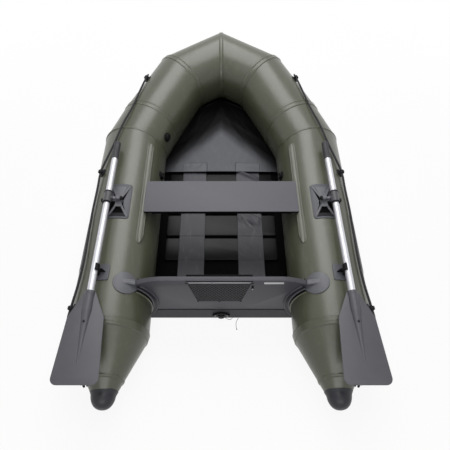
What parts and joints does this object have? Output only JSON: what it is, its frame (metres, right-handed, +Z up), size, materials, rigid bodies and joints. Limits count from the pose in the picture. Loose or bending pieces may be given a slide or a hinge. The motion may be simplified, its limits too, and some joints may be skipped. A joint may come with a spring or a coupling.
{
  "type": "inflatable boat",
  "caption": "Inflatable tender with a bow of straight gores, two stern cones, a slatted floor, a sliding bench, a plywood transom and a pair of oars stowed in oarlocks and clips.",
  "frame": {"origin": "on the ground under the middle of the boat's length and beam", "axes": "+X to starboard, +Y to the bow, +Z up"},
  "size_m": [1.34, 2.322, 0.4764],
  "materials": {
    "painted_board": "painted, matt",
    "bottom_fabric": "satin coated fabric",
    "floor_fabric": "satin coated fabric",
    "black_plastic": "satin",
    "cord": "thin twisted string",
    "slat_board": "painted, semi-gloss",
    "pad_plastic": "moulded diamond pattern",
    "hull_fabric": "semi-gloss coated fabric",
    "cap_rubber": "satin",
    "rope": "braided",
    "blade_plastic": "satin",
    "pad_rubber": "matt",
    "aluminium": "brushed anodised",
    "holder_rubber": "matt",
    "steel": "polished stainless"
  },
  "bodies": {
    "hull": {"bottom_sheet": "bottom_fabric", "bow_apron": "floor_fabric", "bow_valve": "black_plastic", "drain_lanyard": "cord", "drain_plug": "black_plastic", "drain_valve": "black_plastic", "floor_slats": "slat_board", "motor_pad_inner": "pad_plastic", "motor_pad_outer": "pad_plastic", "port_bow_tube": "hull_fabric", "port_cone_cap": "cap_rubber", "port_floor_strip": "floor_fabric", "port_grab_line": "rope", "port_line_guides": "black_plastic", "port_oar_clip": "pad_rubber", "port_oarlock_base": "black_plastic", "port_oarlock_pad": "pad_rubber", "port_quarter_tube": "hull_fabric", "port_seat_rail": "hull_fabric", "port_shoulder_tube": "hull_fabric", "port_side_tube": "hull_fabric", "port_stern_cone": "hull_fabric", "port_transom_ear": "holder_rubber", "port_transom_holder": "holder_rubber", "port_valve": "black_plastic", "starboard_bow_tube": "hull_fabric", "starboard_cone_cap": "cap_rubber", "starboard_floor_strip": "floor_fabric", "starboard_grab_line": "rope", "starboard_line_guides": "black_plastic", "starboard_oar_clip": "pad_rubber", "starboard_oarlock_base": "black_plastic", "starboard_oarlock_pad": "pad_rubber", "starboard_quarter_tube": "hull_fabric", "starboard_seat_rail": "hull_fabric", "starboard_shoulder_tube": "hull_fabric", "starboard_side_tube": "hull_fabric", "starboard_stern_cone": "hull_fabric", "starboard_transom_ear": "holder_rubber", "starboard_transom_holder": "holder_rubber", "starboard_valve": "black_plastic", "tow_patch": "pad_rubber", "tow_ring": "steel", "transom_board": "painted_board", "transom_skirt": "bottom_fabric"},
    "bench": {"bench_board": "painted_board", "port_bench_runner": "black_plastic", "starboard_bench_runner": "black_plastic"},
    "port_oar": {"port_oarlock_head": "black_plastic", "port_oar_shaft": "aluminium", "port_oar_grip": "black_plastic", "port_oar_collar": "black_plastic", "port_oar_blade": "blade_plastic"},
    "starboard_oar": {"starboard_oarlock_head": "black_plastic", "starboard_oar_shaft": "aluminium", "starboard_oar_grip": "black_plastic", "starboard_oar_collar": "black_plastic", "starboard_oar_blade": "blade_plastic"}
  },
  "joints": [
    {"name": "port_oar_swivel", "type": "hinge", "parent": "hull", "child": "port_oar", "pos_m": [-0.494, -0.235, 0.385], "axis": [0, 0, -1], "range_deg": [0, 135]},
    {"name": "starboard_oar_swivel", "type": "hinge", "parent": "hull", "child": "starboard_oar", "pos_m": [0.494, -0.235, 0.385], "axis": [0, 0, 1], "range_deg": [0, 135]},
    {"name": "bench_slide", "type": "slide", "parent": "hull", "child": "bench", "axis": [0, 1, 0], "range_m": [-0.13, 0.26]}
  ]
}
